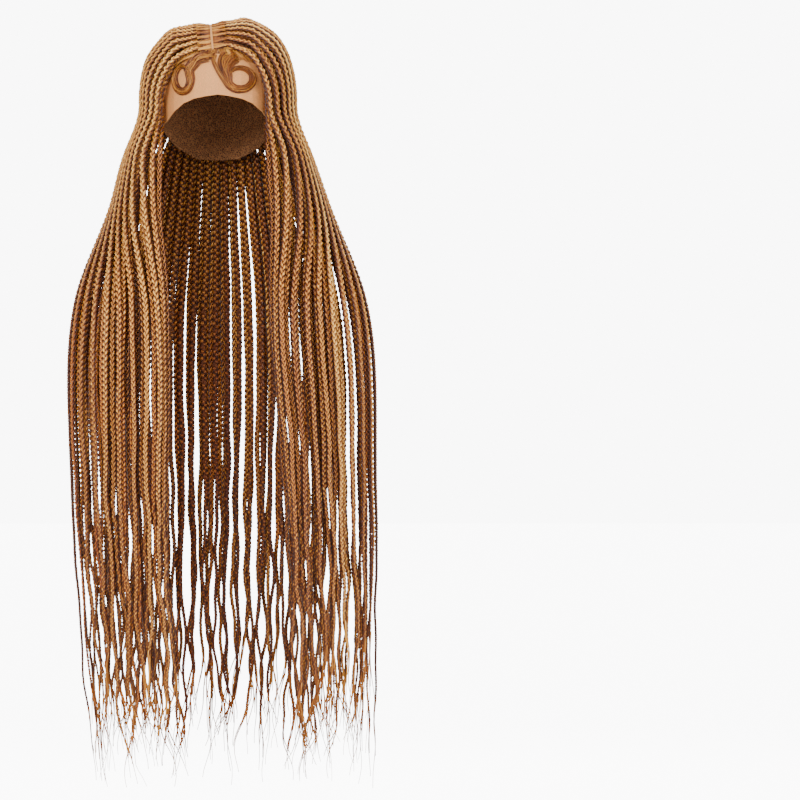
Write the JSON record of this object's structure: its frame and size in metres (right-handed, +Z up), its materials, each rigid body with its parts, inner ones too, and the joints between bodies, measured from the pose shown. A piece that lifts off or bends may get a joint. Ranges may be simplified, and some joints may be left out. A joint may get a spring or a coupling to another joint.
{
  "type": "braid wig",
  "caption": "Long braided wig: domed lace cap, sheer lace front with curled edge hair, and layered rows of tapering braids that hang before and behind the shoulders.",
  "frame": {"origin": "crown of the head on the inside of the cap, where the wig rests on the wearer's head", "axes": "+Z up out of the crown, -Y the way the face looks, +X towards the wearer's left, which is the right of the picture"},
  "size_m": [0.3663, 0.2208, 0.9249],
  "materials": {
    "stretch_lace": "matt",
    "sheer_lace": "matt",
    "edge_hair": "satin",
    "crown_braid_hair": "satin",
    "middle_braid_hair": "satin",
    "lower_braid_hair": "satin"
  },
  "bodies": {
    "root": {"cap": "stretch_lace", "lace_front": "sheer_lace", "laid_curl_left": "edge_hair", "laid_curl_right": "edge_hair", "crown_braids_left": "crown_braid_hair", "crown_braids_back": "crown_braid_hair", "crown_braids_right": "crown_braid_hair", "middle_braids_left": "middle_braid_hair", "middle_braids_back": "middle_braid_hair", "middle_braids_right": "middle_braid_hair", "lower_braids_left": "lower_braid_hair", "lower_braids_back": "lower_braid_hair", "lower_braids_right": "lower_braid_hair"}
  },
  "joints": []
}
